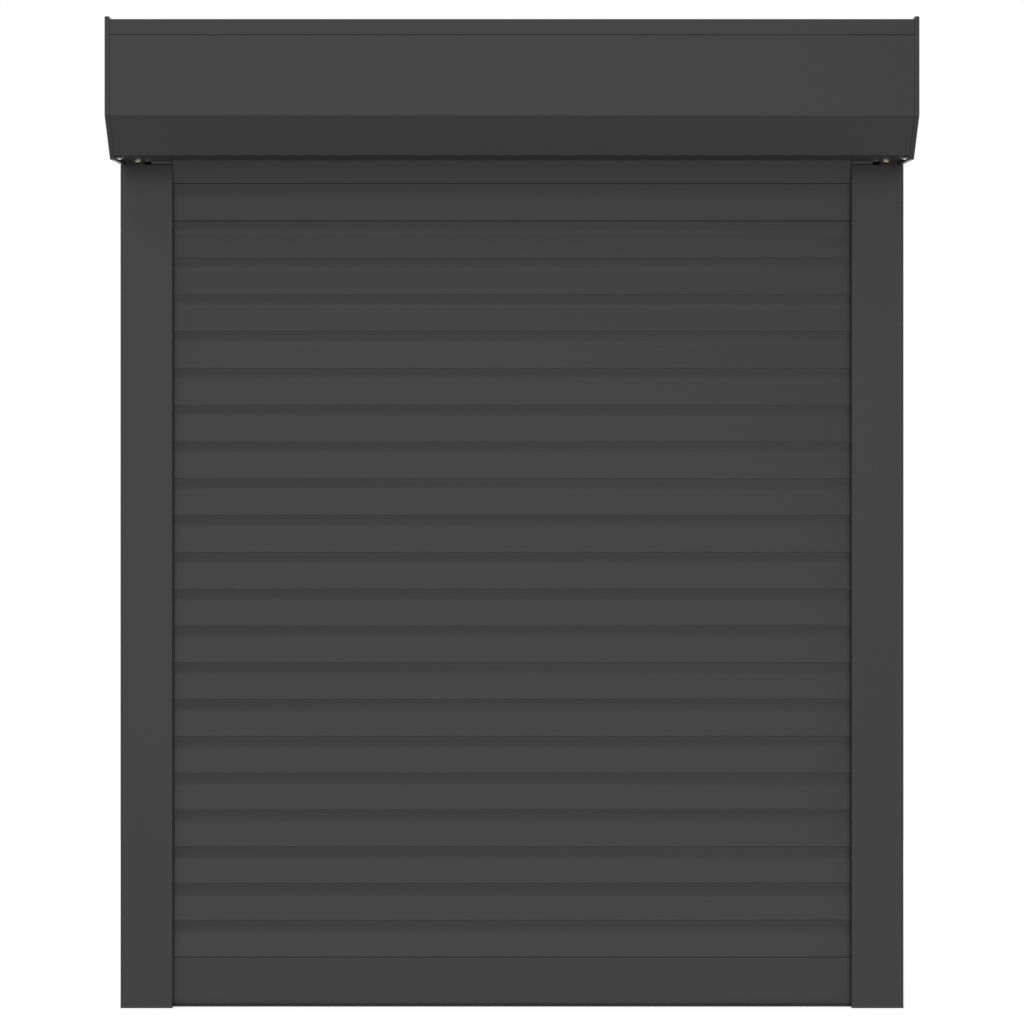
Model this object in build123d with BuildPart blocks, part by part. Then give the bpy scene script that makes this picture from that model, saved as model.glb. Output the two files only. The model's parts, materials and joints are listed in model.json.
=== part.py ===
from build123d import *
import os
from math import cos, radians, sin

os.makedirs("parts", exist_ok=True)

# Exterior roller shutter with a front-mounted casing, in millimetres.
# X runs along the shutter, the front faces -Y, the wall is the plane Y = 0.
# The origin is the centre of the four wall fixings of the guide rails.

# Overall size
overall_width = 800.0
rail_height = 861.4
fixing_pitch = 640.0
cut_overrun = 1.0
seat_gap = 0.3

# Curtain
slat_pitch_aim = 37.7
curtain_entry = 18.9
slot_opening = 3.2
engagement = 18.0

# Slat section: depth grows towards the front, height from the lower edge
skin = 0.9
nose_depth = 9.4
nose_radius = 0.15
band_height = 9.5
valley_depth = 6.9
valley_radius = 25.0
foot_depth = 9.0
foot_radius = 0.1
slat_gap = 0.1
back_camber = 0.3
pocket_back = 1.2
pocket_front = 6.6
pocket_height = 6.6
lip_front = 3.3
lip_thickness = 1.2
neck_back = 3.8
neck_thickness = 1.1
head_back = 1.8
head_thickness = 1.2
hook_clearance = 0.3

# Leaning slats at the casing mouth, degrees from the slat below
top_lean = (0.0, 6.5, 7.5)
lean_lift = 1.1

# Bottom bar with its seal
bar_height = 47.7
bar_wall = 1.2
bar_radius = 0.8
bar_back = 0.6
seal_height = 2.9
seal_depth = 7.6
seal_foot_depth = 4.4
seal_foot_height = 1.6
seal_neck_depth = 2.4
seal_neck_height = 1.2
seal_clearance = 0.1
bar_cap_plug = 10.0

# Guide rails
rail_width = 53.0
rail_depth = 22.0
rail_wall = 1.5
chamber_width = 25.0
curtain_back = 3.7
cover_skin = 1.4
cover_leg = 6.0
cover_gap = 0.1
cover_leg_wall = 1.2
cover_edge_radius = 0.5
ridge_wall = 0.9
ridge_height = 1.4
fixing_radius = 2.75
pile_width = 4.8
pile_gap = 0.1
pile_short_top = 70.0
foot_plate = 2.6
foot_plug_height = 14.0
foot_plug_wall = 1.4
foot_plug_gap = 0.2
locking_clip_thickness = 1.4
locking_clip_shank = 12.0
locking_clip_gap = 0.15

# Casing
casing_depth = 137.0
casing_overlap = 2.4
casing_height = 132.0
casing_sheet = 1.2
chamfer_size = 37.0
front_lip = 15.0
joint_gap = 1.4
joggle_height = 9.0
underside_rise = 5.5
mouth_depth = 37.0
mouth_hem = 7.0
casing_fold_radius = 1.6
rear_drop = 3.6
tab_gap = 2.4

# End caps
cap_plate = 4.6
rim_top = 2.3
rim_front = 0.8
rim_bottom = 1.6
cap_edge = 0.6
collar_depth = 14.0
collar_wall = 2.0
collar_gap = 0.1
peg_length = 36.0
peg_gap = 0.3
peg_wall = 2.2
rib_thickness = 2.0
rib_height = 3.0
rib_inner = 33.0
rib_outer = 52.0
lug_half = 4.5
ledge_width = 10.0
ledge_depth = 8.0
ledge_thickness = 1.5
cover_screw_inset = 20.0

# Rivets and screws
rivet_head_radius = 2.4
rivet_head_height = 1.0
rivet_end_inset = 4.5
top_rivet_shares = (0.15, 0.5, 0.85)
screw_head_radius = 3.4
screw_head_height = 2.0
screw_edge = 0.7
screw_slot_width = 0.9
screw_slot_depth = 0.8
plate_screw_flats = 5.5
plate_screw_head_height = 2.0

# Shaft line
shaft_flats = 40.0
shaft_wall = 1.0
shaft_drop = 67.0
shaft_forward = 68.0
pin_radius = 6.0
pin_fit = 0.05
pin_shoulder = 2.0
plug_length = 50.0
plug_gap = 0.2
plug_wall = 2.4
plug_flange_radius = 24.0
plug_flange = 3.0
bearing_radius = 14.0
bearing_width = 8.0
bearing_fit = 0.02
holder_radius = 24.0
holder_depth = 10.0
holder_flange = 2.5
holder_size = 60.0
holder_hole_pitch = 46.0
pulley_radius = 54.0
pulley_hub_radius = 26.0
pulley_width = 15.4
pulley_disc = 1.8
pulley_gap = 0.5

# Hanger strips between the shaft and the top slat
strip_count = 3
strip_width = 20.0
strip_thickness = 0.8
strip_wrap = 3
strip_end_gap = 0.5

# Strap outlet in the rear wall of the casing
outlet_rise = 46.0
outlet_inset = 23.0
outlet_opening_width = 14.6
outlet_opening_height = 12.0
outlet_wall = 1.6
outlet_flange = 3.0
outlet_plate = 1.2
outlet_box_depth = 9.0
outlet_roller_radius = 3.0
outlet_pin_radius = 1.1
outlet_roller_gap = 0.3

# Rail inlets and mouth brush
inlet_height = 22.0
inlet_wall = 1.4
inlet_flare = 16.0
inlet_plug = 12.0
inlet_plug_width = 4.5
inlet_wing_width = 21.0
mouth_brush_height = 5.0
mouth_brush_depth = 3.4

# Places worked out from the sizes above
sill = -rail_height / 2
half_width = overall_width / 2
clear_width = overall_width - 2 * rail_width
slat_length = clear_width + 2 * engagement
rail_inner_x = clear_width / 2
rail_top = sill + rail_height
casing_bottom = rail_top - casing_overlap
casing_top = casing_bottom + casing_height
shaft_y = -shaft_forward
shaft_z = casing_top - shaft_drop
head_rest = lip_thickness + slot_opening + hook_clearance
hook_height = slat_gap + head_rest + head_thickness
bar_bottom = sill + seal_height
curtain_start = bar_bottom + bar_height + seat_gap
curtain_height = rail_top + curtain_entry - curtain_start
slat_count = round(curtain_height / slat_pitch_aim)
slat_pitch = curtain_height / slat_count
shoulder = slat_pitch - slat_gap


outlet_x = half_width - outlet_inset
outlet_box_width = outlet_opening_width + 2 * outlet_wall
outlet_box_height = outlet_opening_height + 2 * outlet_wall


def save(piece, name):
    """Label a finished piece and write it under its own name."""
    piece.part.label = name
    export_step(piece.part, f"parts/{name}.step")


def section_plane(depth_start, height, lean=0.0, x=0.0):
    """Plane across the shutter: first axis to the front, second one up, leaning outwards."""
    across = (0, -cos(radians(lean)), -sin(radians(lean)))
    return Plane(origin=(x, -depth_start, height), x_dir=across, z_dir=(-1, 0, 0))


# Slat section


def hook_outline(base_height, rest_gap):
    """Neck and head of the hook that carries the slat above."""
    head_bottom = base_height + rest_gap + head_rest
    head_top = head_bottom + head_thickness
    neck_front = neck_back + neck_thickness
    with BuildSketch() as hook:
        with BuildLine():
            Polyline(
                (neck_back, base_height - skin),
                (neck_back, head_bottom),
                (head_back, head_bottom),
                (head_back, head_top),
                (neck_front, head_top),
                (neck_front, base_height - skin),
                close=True,
            )
        make_face()
    return hook.sketch


def pocket_outline():
    """Pocket in the lower edge that takes the hook of the slat below."""
    with BuildSketch() as pocket:
        with BuildLine():
            Polyline(
                (lip_front, -cut_overrun),
                (lip_front, lip_thickness),
                (pocket_back, lip_thickness),
                (pocket_back, pocket_height),
                (pocket_front, pocket_height),
                (pocket_front, -cut_overrun),
                close=True,
            )
        make_face()
    return pocket.sketch


def slat_body_outline():
    """Outer outline of a slat without hook and pocket."""
    with BuildSketch() as body:
        with BuildLine() as outline:
            back = ThreePointArc((back_camber, shoulder), (0, shoulder / 2), (back_camber, 0))
            Line(back @ 1, (foot_depth, 0))
            front = Line((foot_depth, 0), (valley_depth, shoulder - band_height))
            band = Line(front @ 1, (nose_depth, shoulder))
            Line(band @ 1, back @ 0)
        make_face()
        corners = body.vertices()
        fillet(corners.group_by(Axis.X)[-1], nose_radius)
        valley = body.vertices().sort_by_distance((valley_depth, shoulder - band_height))[0]
        fillet(valley, valley_radius)
        foot = body.vertices().sort_by_distance((foot_depth, 0))[0]
        fillet(foot, foot_radius)
    return body.sketch


def slat_section():
    """Hollow slat section with hook above and pocket below."""
    body = slat_body_outline()
    with BuildSketch() as chamber:
        add(body)
        offset(amount=-skin, kind=Kind.INTERSECTION, mode=Mode.REPLACE)
        floor = pocket_height + skin
        with Locations((0, 0)):
            Rectangle(2 * nose_depth, 2 * floor, mode=Mode.SUBTRACT)
    with BuildSketch() as section:
        add(body)
        add(hook_outline(shoulder, slat_gap))
        add(pocket_outline(), mode=Mode.SUBTRACT)
        add(chamber.sketch, mode=Mode.SUBTRACT)
    return section.sketch


section = slat_section()
pivot_lower = (neck_back, shoulder + slat_gap + head_rest)
pivot_upper = (neck_back, head_rest)


def slat_places():
    """Origin (depth, height) and lean of each slat, from the bottom bar up."""
    places = []
    depth = curtain_back
    height = curtain_start
    lean = 0.0
    for index in range(slat_count):
        step = index - (slat_count - len(top_lean))
        turn = top_lean[step] if step >= 0 else 0.0
        if turn:
            raised = pivot_lower[1] + lean_lift
            pivot_depth = depth + pivot_lower[0] * cos(radians(lean)) + raised * sin(radians(lean))
            pivot_height = height - pivot_lower[0] * sin(radians(lean)) + raised * cos(radians(lean))
            lean += turn
            depth = pivot_depth - pivot_upper[0] * cos(radians(lean)) - pivot_upper[1] * sin(radians(lean))
            height = pivot_height + pivot_upper[0] * sin(radians(lean)) - pivot_upper[1] * cos(radians(lean))
        elif index:
            height += slat_pitch
        places.append((depth, height, lean))
    return places


places = slat_places()

# Slats
for number, (depth, height, lean) in enumerate(places, start=1):
    plane = section_plane(depth, height, lean)
    with BuildPart() as slat:
        with BuildSketch(plane):
            add(section)
        extrude(amount=slat_length / 2, both=True)
    save(slat, f"slat_{number:02d}")


# Locking clips in the ends of every second slat


def clip_outline(inset):
    """Straight-sided outline of a slat's chamber, drawn in on all sides."""
    low = pocket_height + skin + inset
    high = shoulder - inset
    with BuildSketch() as outline:
        with BuildLine():
            Polyline(
                (back_camber + inset, low),
                (back_camber + inset, high),
                (valley_depth - inset, high),
                (valley_depth - inset, low),
                close=True,
            )
        make_face()
    return outline.sketch


def clip_solid(plane, end):
    """Plate over the slat end with a shank that enters its chamber."""
    with BuildSketch() as plate:
        add(clip_outline(0))
    with BuildSketch() as shank:
        add(clip_outline(skin + locking_clip_gap))
    face = plane.offset(-end * slat_length / 2)
    with BuildPart() as clip:
        with BuildSketch(face):
            add(plate.sketch)
        extrude(amount=-end * locking_clip_thickness)
        with BuildSketch(face):
            add(shank.sketch)
        extrude(amount=end * locking_clip_shank)
    return clip.part


for number, (depth, height, lean) in enumerate(places, start=1):
    if number % 2:
        continue
    plane = section_plane(depth, height, lean)
    with BuildPart() as clips:
        add(clip_solid(plane, 1))
        add(clip_solid(plane, -1))
    save(clips, f"slat_clips_{number:02d}")


# Bottom bar with its rubber seal and end caps
bar_plane = section_plane(curtain_back, bar_bottom)
groove_height = seal_neck_height + seal_foot_height + 2 * seal_clearance
bar_mid = (bar_back + nose_depth) / 2
bar_depth = nose_depth - bar_back
bar_inner_depth = bar_depth - 2 * bar_wall
bar_floor = groove_height + bar_wall
bar_ceiling = bar_height - bar_wall
bar_web = (bar_floor + bar_ceiling) / 2

with BuildSketch() as bar_chambers:
    for low, high in ((bar_floor, bar_web - bar_wall / 2), (bar_web + bar_wall / 2, bar_ceiling)):
        with Locations((bar_mid, (low + high) / 2)):
            Rectangle(bar_inner_depth, high - low)

with BuildSketch() as seal_seat:
    with Locations((bar_mid, seal_neck_height / 2)):
        Rectangle(seal_neck_depth + 2 * seal_clearance, seal_neck_height)
    with Locations((bar_mid, groove_height - (seal_foot_height + 2 * seal_clearance) / 2)):
        Rectangle(seal_foot_depth + 2 * seal_clearance, seal_foot_height + 2 * seal_clearance)

with BuildPart() as bottom_bar:
    with BuildSketch(bar_plane):
        with Locations((bar_mid, bar_height / 2)):
            Rectangle(bar_depth, bar_height)
        add(hook_outline(bar_height, seat_gap))
        add(bar_chambers.sketch, mode=Mode.SUBTRACT)
        add(seal_seat.sketch, mode=Mode.SUBTRACT)
    extrude(amount=slat_length / 2, both=True)
    front_edges = bottom_bar.edges().filter_by(Axis.X).group_by(Axis.Y)[0]
    fillet(front_edges, bar_radius)
save(bottom_bar, "bottom_bar")

with BuildPart() as bottom_seal:
    with BuildSketch(bar_plane):
        with Locations((bar_mid, -seal_height / 2)):
            Rectangle(seal_depth, seal_height)
        with Locations((bar_mid, (seal_neck_height + seal_clearance) / 2)):
            Rectangle(seal_neck_depth, seal_neck_height + seal_clearance)
        with Locations((bar_mid, seal_neck_height + seal_clearance + seal_foot_height / 2)):
            Rectangle(seal_foot_depth, seal_foot_height)
    extrude(amount=rail_inner_x - seat_gap, both=True)
save(bottom_seal, "bottom_seal")

with BuildPart() as bar_caps:
    for end in (1, -1):
        face = bar_plane.offset(-end * slat_length / 2)
        with BuildSketch(face):
            with Locations((bar_mid, bar_height / 2)):
                Rectangle(bar_depth, bar_height)
        extrude(amount=-end * locking_clip_thickness)
        with BuildSketch(face):
            for low, high in ((bar_floor, bar_web - bar_wall / 2), (bar_web + bar_wall / 2, bar_ceiling)):
                with Locations((bar_mid, (low + high) / 2)):
                    Rectangle(bar_inner_depth - 2 * locking_clip_gap, high - low - 2 * locking_clip_gap)
        extrude(amount=end * bar_cap_plug)
save(bar_caps, "bottom_bar_caps")


# Guide rails: first axis from the outer edge inwards, second one from the wall to the front


def rail_plane(side, height):
    """Cross-section plane of one rail at a height; its normal points up on the right side."""
    return Plane(origin=(side * half_width, 0, height), x_dir=(-side, 0, 0), z_dir=(0, 0, side))


def span_rectangle(low, high, mode=Mode.ADD):
    """Rectangle between two corners."""
    with Locations(((low[0] + high[0]) / 2, (low[1] + high[1]) / 2)):
        Rectangle(high[0] - low[0], high[1] - low[1], mode=mode)


rail_start = sill + foot_plate
rail_length = rail_top - rail_start
cover_back = rail_depth - cover_skin
wall_end = cover_back - cover_gap
web_start = chamber_width
web_end = chamber_width + rail_wall
ridge_inner = rail_width - ridge_wall
pile_outer = ridge_inner - pile_width
ridge_outer = pile_outer - ridge_wall
leg_outer_low = rail_wall + cover_gap
leg_outer_high = leg_outer_low + cover_leg_wall
leg_inner_high = web_start - cover_gap
leg_inner_low = leg_inner_high - cover_leg_wall
nose_line = curtain_back + nose_depth

for side, name in ((-1, "left"), (1, "right")):
    with BuildPart() as rail:
        with BuildSketch(rail_plane(side, rail_start)):
            span_rectangle((0, 0), (rail_width, rail_wall))
            span_rectangle((0, 0), (rail_wall, wall_end))
            span_rectangle((web_start, 0), (web_end, wall_end))
            span_rectangle((ridge_outer, 0), (pile_outer, rail_wall + ridge_height))
            span_rectangle((ridge_inner, 0), (rail_width, rail_wall + ridge_height))
        extrude(amount=side * rail_length)
        fixing_plane = Plane(origin=(0, 0, 0), x_dir=(1, 0, 0), z_dir=(0, -1, 0))
        fixing_x = side * (half_width - (rail_wall + chamber_width) / 2)
        with BuildSketch(fixing_plane.offset(-cut_overrun)):
            with Locations((fixing_x, fixing_pitch / 2), (fixing_x, -fixing_pitch / 2)):
                Circle(fixing_radius)
        extrude(amount=rail_wall + 2 * cut_overrun, mode=Mode.SUBTRACT)
    save(rail, f"guide_rail_{name}")

    with BuildPart() as rail_cover:
        with BuildSketch(rail_plane(side, rail_start)):
            span_rectangle((0, cover_back), (rail_width, rail_depth))
            span_rectangle((leg_outer_low, cover_back - cover_leg), (leg_outer_high, cover_back))
            span_rectangle((leg_inner_low, cover_back - cover_leg), (leg_inner_high, cover_back))
            span_rectangle((ridge_outer, cover_back - ridge_height), (pile_outer, cover_back))
            span_rectangle((ridge_inner, cover_back - ridge_height), (rail_width, cover_back))
        extrude(amount=side * rail_length)
        face_edges = rail_cover.edges().filter_by(Axis.Z).group_by(Axis.Y)[0]
        fillet(face_edges, cover_edge_radius)
    save(rail_cover, f"rail_cover_{name}")

# Weather piles in the lips of both rails
with BuildPart() as rail_piles:
    for side in (-1, 1):
        with BuildSketch(rail_plane(side, rail_start)):
            low = pile_outer + pile_gap
            high = ridge_inner - pile_gap
            span_rectangle((low, rail_wall + pile_gap), (high, curtain_back - seat_gap))
            span_rectangle((low, nose_line + seat_gap), (high, cover_back - pile_gap))
        extrude(amount=side * (rail_length - pile_short_top))
save(rail_piles, "rail_piles")

# Plugs that close the feet of both rails
with BuildPart() as rail_foot_plugs:
    for side in (-1, 1):
        with BuildSketch(rail_plane(side, sill)):
            span_rectangle((0, 0), (rail_width, rail_depth))
        extrude(amount=side * foot_plate)
        low = (leg_outer_high + foot_plug_gap, rail_wall + foot_plug_gap)
        high = (leg_inner_low - foot_plug_gap, cover_back - foot_plug_gap)
        with BuildSketch(rail_plane(side, rail_start)):
            span_rectangle(low, high)
            inner_low = (low[0] + foot_plug_wall, low[1] + foot_plug_wall)
            inner_high = (high[0] - foot_plug_wall, high[1] - foot_plug_wall)
            span_rectangle(inner_low, inner_high, mode=Mode.SUBTRACT)
        extrude(amount=side * foot_plug_height)
save(rail_foot_plugs, "rail_foot_plugs")

# Flared inlets that lead the curtain into the rails
inlet_front = cover_back - inlet_wall
inlet_tip = inlet_front + inlet_flare
with BuildPart() as rail_inlets:
    for side in (-1, 1):
        with BuildSketch(rail_plane(side, rail_top - inlet_plug)):
            span_rectangle((web_end + foot_plug_gap, rail_wall + foot_plug_gap),
                           (web_end + foot_plug_gap + inlet_plug_width, cover_back - foot_plug_gap))
            span_rectangle((web_end + foot_plug_gap, inlet_front),
                           (ridge_outer - foot_plug_gap, cover_back - foot_plug_gap))
        extrude(amount=side * inlet_plug)
        wing_start = side * (rail_inner_x + foot_plug_gap)
        with BuildSketch(section_plane(0, 0, x=wing_start)):
            with BuildLine():
                Polyline(
                    (inlet_front, rail_top),
                    (inlet_tip, rail_top + inlet_height),
                    (inlet_tip + inlet_wall, rail_top + inlet_height),
                    (cover_back - foot_plug_gap, rail_top),
                    close=True,
                )
            make_face()
        extrude(amount=-side * inlet_wing_width)
save(rail_inlets, "rail_inlets")


# Casing sheets, drawn in depth and height and bent from one sheet thickness
sheet_front = casing_depth - rim_front
sheet_half = half_width - cap_plate - collar_gap
front_top = casing_top - front_lip
joint_bottom = front_top - joint_gap
chamfer_top = casing_bottom + chamfer_size
chamfer_foot = sheet_front - chamfer_size
underside = casing_bottom + underside_rise
joggle_front = sheet_front - casing_sheet - collar_gap
tab_rear = rail_depth + tab_gap


def parallel_line(points, distance):
    """Mitred line beside an open line of points, to its right for a positive distance."""
    ends = [Vector(*point) for point in points]
    ways = [(after - before).normalized() for before, after in zip(ends, ends[1:])]
    sides = [Vector(way.Y, -way.X) for way in ways]
    line = [ends[0] + sides[0] * distance]
    for point, before, after in zip(ends[1:-1], sides, sides[1:]):
        middle = before + after
        line.append(point + middle * (2 * distance / middle.dot(middle)))
    line.append(ends[-1] + sides[-1] * distance)
    return [(point.X, point.Y) for point in line]


def bent_sheet(points, folds):
    """Strip of sheet to the right of the outer line, rounded outside at the folds."""
    with BuildSketch() as strip:
        with BuildLine():
            Polyline(*points, *reversed(parallel_line(points, casing_sheet)), close=True)
        make_face()
        for fold in folds:
            fillet(strip.vertices().sort_by_distance(fold)[0], casing_fold_radius)
    return strip.sketch


def across_casing(sketch, low, high):
    """Extrude a casing section between two places along the shutter."""
    with BuildPart() as piece:
        with BuildSketch(section_plane(0, 0, x=low)):
            add(sketch)
        extrude(amount=-(high - low))
    return piece.part


rivet_x = sheet_half - rivet_end_inset
top_rivet_depths = [casing_depth * share for share in top_rivet_shares]
ledge_front = chamfer_foot - casing_sheet - collar_gap
ledge_rivet_depth = ledge_front - ledge_depth / 2


def rivet_planes(side):
    """Planes of the rivet seats of one end, each with its normal out of the sheet."""
    x = side * rivet_x
    seats = [Plane(origin=(x, -depth, casing_top), z_dir=(0, 0, 1)) for depth in top_rivet_depths]
    seats.append(Plane(origin=(x, -ledge_rivet_depth, casing_bottom), z_dir=(0, 0, -1)))
    return seats


top_points = (
    (0, casing_bottom + rear_drop),
    (0, casing_top),
    (sheet_front, casing_top),
    (sheet_front, front_top),
)
with BuildPart() as casing_top_sheet:
    add(across_casing(bent_sheet(top_points, top_points[1:3]), -sheet_half, sheet_half))
    outlet_plane = Plane(origin=(outlet_x, 0, casing_bottom + outlet_rise), x_dir=(-1, 0, 0), z_dir=(0, 1, 0))
    with BuildSketch(outlet_plane.offset(cut_overrun)):
        Rectangle(outlet_box_width + 2 * seat_gap, outlet_box_height + 2 * seat_gap)
    extrude(amount=-casing_sheet - 2 * cut_overrun, mode=Mode.SUBTRACT)
save(casing_top_sheet, "casing_rear_and_top")

cover_points = (
    (joggle_front, front_top + joggle_height),
    (joggle_front, joint_bottom),
    (sheet_front, joint_bottom),
    (sheet_front, chamfer_top),
    (chamfer_foot, casing_bottom),
    (chamfer_foot, underside),
)
mouth_points = cover_points + ((mouth_depth, underside), (mouth_depth, underside + mouth_hem))
tab_points = cover_points + ((tab_rear, underside),)
cover_screw_x = half_width - cover_screw_inset
cover_screw_planes = [
    Plane(origin=(side * cover_screw_x, -mouth_depth, underside), z_dir=(0, 0, -1)) for side in (-1, 1)
]
cover_folds = cover_points[3:5]
with BuildPart() as front_cover:
    add(across_casing(bent_sheet(mouth_points, cover_folds), -rail_inner_x, rail_inner_x))
    add(across_casing(bent_sheet(tab_points, cover_folds), -sheet_half, -rail_inner_x))
    add(across_casing(bent_sheet(tab_points, cover_folds), rail_inner_x, sheet_half))
save(front_cover, "front_cover")

with BuildPart() as mouth_brush:
    with BuildSketch(section_plane(0, 0)):
        low = (mouth_depth - mouth_brush_depth - pile_gap, underside + pile_gap)
        high = (mouth_depth - pile_gap, underside + mouth_brush_height)
        span_rectangle(low, high)
    extrude(amount=rail_inner_x - seat_gap, both=True)
save(mouth_brush, "mouth_brush")

# Rivets that hold the rear and top sheet and the cover's ends to the caps
with BuildPart() as casing_rivets:
    for side in (-1, 1):
        for plane in rivet_planes(side):
            with BuildSketch(plane):
                Circle(rivet_head_radius)
            extrude(amount=rivet_head_height)
save(casing_rivets, "casing_rivets")

# Pan-head screws with a cross slot under both ends of the cover
with BuildPart() as cover_screws:
    for plane in cover_screw_planes:
        with BuildSketch(plane):
            Circle(screw_head_radius)
        extrude(amount=screw_head_height)
    chamfer(cover_screws.edges().group_by(Axis.Z)[0], screw_edge)
    for plane in cover_screw_planes:
        with BuildSketch(plane.offset(screw_head_height)):
            Rectangle(screw_head_radius, screw_slot_width)
            Rectangle(screw_slot_width, screw_head_radius)
        extrude(amount=-screw_slot_depth, mode=Mode.SUBTRACT)
save(cover_screws, "cover_screws")


def holder_hole_places():
    """Corners of the square on which a bearing holder is screwed to its cap."""
    half = holder_hole_pitch / 2
    return [(across, up) for across in (-half, half) for up in (-half, half)]


# End caps with a collar for the sheets, a peg for the rail and a pad for the bearing
cap_outer_points = (
    (0, sill + rail_height + seat_gap),
    (0, casing_top + rim_top),
    (casing_depth, casing_top + rim_top),
    (casing_depth, chamfer_top),
    (casing_depth - chamfer_size - rim_bottom, casing_bottom - rim_bottom),
    (rail_depth, sill + rail_height + seat_gap),
)
collar_low = casing_sheet + collar_gap
collar_front = sheet_front - 2 * casing_sheet - 3 * collar_gap
collar_floor = underside + collar_low
collar_points = (
    (collar_low, collar_floor),
    (collar_low, casing_top - collar_low),
    (collar_front, casing_top - collar_low),
    (collar_front, chamfer_top),
    (collar_front - (chamfer_top - collar_floor), collar_floor),
)
cap_inner_x = half_width - cap_plate
peg_low = (leg_outer_high + peg_gap, rail_wall + peg_gap)
peg_high = (leg_inner_low - peg_gap, cover_back - peg_gap)


def holder_plane(side, x):
    """Plane square to the shaft at a distance from the middle, its normal pointing inwards."""
    return Plane(origin=(side * x, shaft_y, shaft_z), x_dir=(0, -1, 0), z_dir=(-side, 0, 0))


for side, name in ((-1, "left"), (1, "right")):
    with BuildPart() as cap:
        with BuildSketch(section_plane(0, 0, x=side * half_width)):
            with BuildLine():
                Polyline(*cap_outer_points, close=True)
            make_face()
        extrude(amount=side * cap_plate)
        outer_face = cap.faces().filter_by(Axis.X).sort_by(Axis.X)[-1 if side > 0 else 0]
        chamfer(outer_face.edges(), cap_edge)
        with BuildSketch(section_plane(0, 0, x=side * cap_inner_x)):
            with BuildLine():
                Polyline(*collar_points, close=True)
            make_face()
            offset(amount=-collar_wall, kind=Kind.INTERSECTION, mode=Mode.SUBTRACT)
        extrude(amount=side * collar_depth)
        with BuildSketch(holder_plane(side, cap_inner_x)):
            with PolarLocations(0, 4):
                with Locations(((rib_inner + rib_outer) / 2, 0)):
                    Rectangle(rib_outer - rib_inner, rib_thickness)
        extrude(amount=rib_height)
        with BuildSketch(rail_plane(side, rail_top - peg_length)):
            span_rectangle(peg_low, peg_high)
            hollow_low = (peg_low[0] + peg_wall, peg_low[1] + peg_wall)
            hollow_high = (peg_high[0] - peg_wall, peg_high[1] - peg_wall)
            span_rectangle(hollow_low, hollow_high, mode=Mode.SUBTRACT)
        extrude(amount=side * (collar_floor + collar_wall - rail_top + peg_length))
        with BuildSketch(Plane.XY.offset(collar_floor)):
            lug_x = side * (cover_screw_x - lug_half + half_width - collar_depth) / 2
            with Locations((lug_x, -mouth_depth)):
                Rectangle(half_width - collar_depth - cover_screw_x + lug_half, 2 * lug_half)
        extrude(amount=collar_wall)
        with BuildSketch(section_plane(0, 0, x=side * cap_inner_x)):
            span_rectangle((ledge_front - ledge_depth, casing_bottom),
                           (ledge_front, casing_bottom + ledge_thickness))
        extrude(amount=side * ledge_width)
        if side > 0:
            notch_x = outlet_x + outlet_box_width / 2 + outlet_flange + seat_gap
            notch_half = outlet_box_height / 2 + outlet_flange + seat_gap
            with BuildSketch(section_plane(0, casing_bottom + outlet_rise, x=notch_x)):
                span_rectangle((0, -notch_half), (collar_low + collar_wall + cut_overrun, notch_half))
            extrude(amount=notch_x - cap_inner_x + collar_depth, mode=Mode.SUBTRACT)
    save(cap, f"end_cap_{name}")

    with BuildPart() as holder:
        with BuildSketch(holder_plane(side, cap_inner_x)):
            Rectangle(holder_size, holder_size)
        extrude(amount=holder_flange)
        with BuildSketch(holder_plane(side, cap_inner_x)):
            Circle(holder_radius)
        extrude(amount=holder_depth)
        with BuildSketch(holder_plane(side, cap_inner_x - holder_depth)):
            Circle(bearing_radius + bearing_fit)
        extrude(amount=-bearing_width - seat_gap, mode=Mode.SUBTRACT)
    save(holder, f"bearing_holder_{name}")

# Hexagon-head screws of the bearing holders
with BuildPart() as holder_screws:
    for side in (-1, 1):
        with BuildSketch(holder_plane(side, cap_inner_x - holder_flange)):
            with Locations(holder_hole_places()):
                RegularPolygon(plate_screw_flats / 2, 6, major_radius=False)
        extrude(amount=plate_screw_head_height)
save(holder_screws, "holder_screws")

# Ball bearings, each one closed ring
bearing_outer_x = cap_inner_x - holder_depth + bearing_width + seat_gap
bearing_inner_x = bearing_outer_x - bearing_width
with BuildPart() as ball_bearings:
    for side in (-1, 1):
        with BuildSketch(holder_plane(side, bearing_outer_x)):
            Circle(bearing_radius)
            Circle(pin_radius, mode=Mode.SUBTRACT)
        extrude(amount=bearing_width)
save(ball_bearings, "ball_bearings")


# Shaft line: eight-sided tube, plug on the left, strap pulley on the right
def octagon(across_flats, mode=Mode.ADD):
    """Regular octagon with flats to the front, back, top and bottom."""
    RegularPolygon(across_flats / 2, 8, major_radius=False, rotation=180 / 8, mode=mode)


pulley_outer_x = bearing_inner_x - seat_gap - pulley_gap
pulley_inner_x = pulley_outer_x - pulley_width
tube_half = pulley_inner_x - seat_gap
shoulder_end = bearing_inner_x - seat_gap
pin_end = bearing_outer_x - seat_gap
insert_flats = shaft_flats - 2 * (shaft_wall + plug_gap)

with BuildPart() as shaft_tube:
    with BuildSketch(holder_plane(1, tube_half)):
        octagon(shaft_flats)
        octagon(shaft_flats - 2 * shaft_wall, mode=Mode.SUBTRACT)
    extrude(amount=2 * tube_half)
save(shaft_tube, "shaft_tube")


def shaft_end(side, body_x):
    """Insert for the tube, and shoulder and pin for the bearing, on one side."""
    with BuildPart() as end:
        with BuildSketch(holder_plane(side, pulley_inner_x)):
            octagon(insert_flats)
            octagon(insert_flats - 2 * plug_wall, mode=Mode.SUBTRACT)
        extrude(amount=plug_length)
        with BuildSketch(holder_plane(side, shoulder_end)):
            Circle(pin_radius + pin_shoulder)
        extrude(amount=shoulder_end - body_x)
        with BuildSketch(holder_plane(side, pin_end)):
            Circle(pin_radius - pin_fit)
        extrude(amount=pin_end - shoulder_end)
    return end.part


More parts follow.
